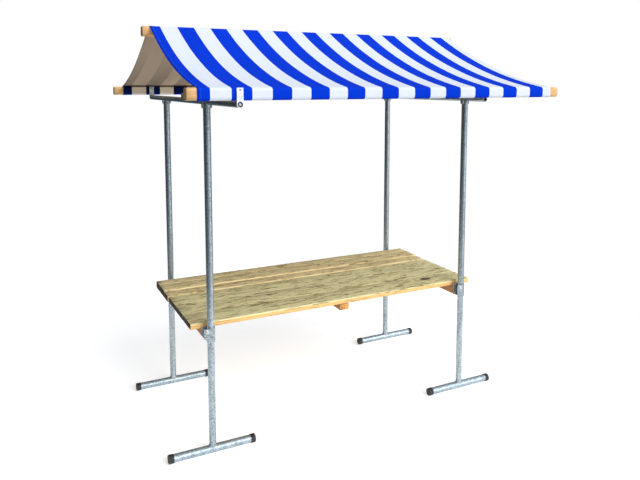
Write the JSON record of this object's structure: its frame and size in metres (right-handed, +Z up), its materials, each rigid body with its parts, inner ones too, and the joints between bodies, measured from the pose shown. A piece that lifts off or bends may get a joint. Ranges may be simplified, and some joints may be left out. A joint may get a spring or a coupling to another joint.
{
  "type": "market stall with a board table and striped canopy",
  "caption": "Open steel tube frame with a wooden board table and a ridge canopy of striped canvas over wooden rails.",
  "frame": {"origin": "on the ground at the centre of the stall's plan", "axes": "+X along the stall to its right end seen from the front, +Y from the front towards the back, +Z up"},
  "size_m": [2.42, 2.1649, 2.5817],
  "materials": {
    "galvanised_steel": "galvanised, mottled satin",
    "black_rubber": "matte",
    "rail_timber": "planed, unpainted",
    "striped_canvas": "woven stripes, blue and white",
    "table_timber": "planed, weathered",
    "bearer_timber": "sawn"
  },
  "bodies": {
    "root": {"front_left_post": "galvanised_steel", "front_right_post": "galvanised_steel", "rear_left_post": "galvanised_steel", "rear_right_post": "galvanised_steel", "front_left_foot": "galvanised_steel", "front_right_foot": "galvanised_steel", "rear_left_foot": "galvanised_steel", "rear_right_foot": "galvanised_steel", "front_left_foot_caps": "black_rubber", "front_right_foot_caps": "black_rubber", "rear_left_foot_caps": "black_rubber", "rear_right_foot_caps": "black_rubber", "left_roof_arm": "galvanised_steel", "right_roof_arm": "galvanised_steel", "front_left_arm_socket": "galvanised_steel", "front_right_arm_socket": "galvanised_steel", "rear_left_arm_socket": "galvanised_steel", "rear_right_arm_socket": "galvanised_steel", "roof_tie": "galvanised_steel", "left_king_post": "galvanised_steel", "right_king_post": "galvanised_steel", "left_ridge_cradle": "galvanised_steel", "right_ridge_cradle": "galvanised_steel", "front_left_rail_bracket": "galvanised_steel", "front_right_rail_bracket": "galvanised_steel", "rear_left_rail_bracket": "galvanised_steel", "rear_right_rail_bracket": "galvanised_steel", "ridge_beam": "rail_timber", "front_rail": "rail_timber", "rear_rail": "rail_timber", "front_canvas": "striped_canvas", "rear_canvas": "striped_canvas", "front_board": "table_timber", "second_board": "table_timber", "third_board": "table_timber", "fourth_board": "table_timber", "fifth_board": "table_timber", "rear_board": "table_timber", "middle_batten": "bearer_timber", "left_bearer": "bearer_timber", "right_bearer": "bearer_timber", "front_left_bearer_clamp": "galvanised_steel", "front_right_bearer_clamp": "galvanised_steel", "rear_left_bearer_clamp": "galvanised_steel", "rear_right_bearer_clamp": "galvanised_steel"}
  },
  "joints": []
}
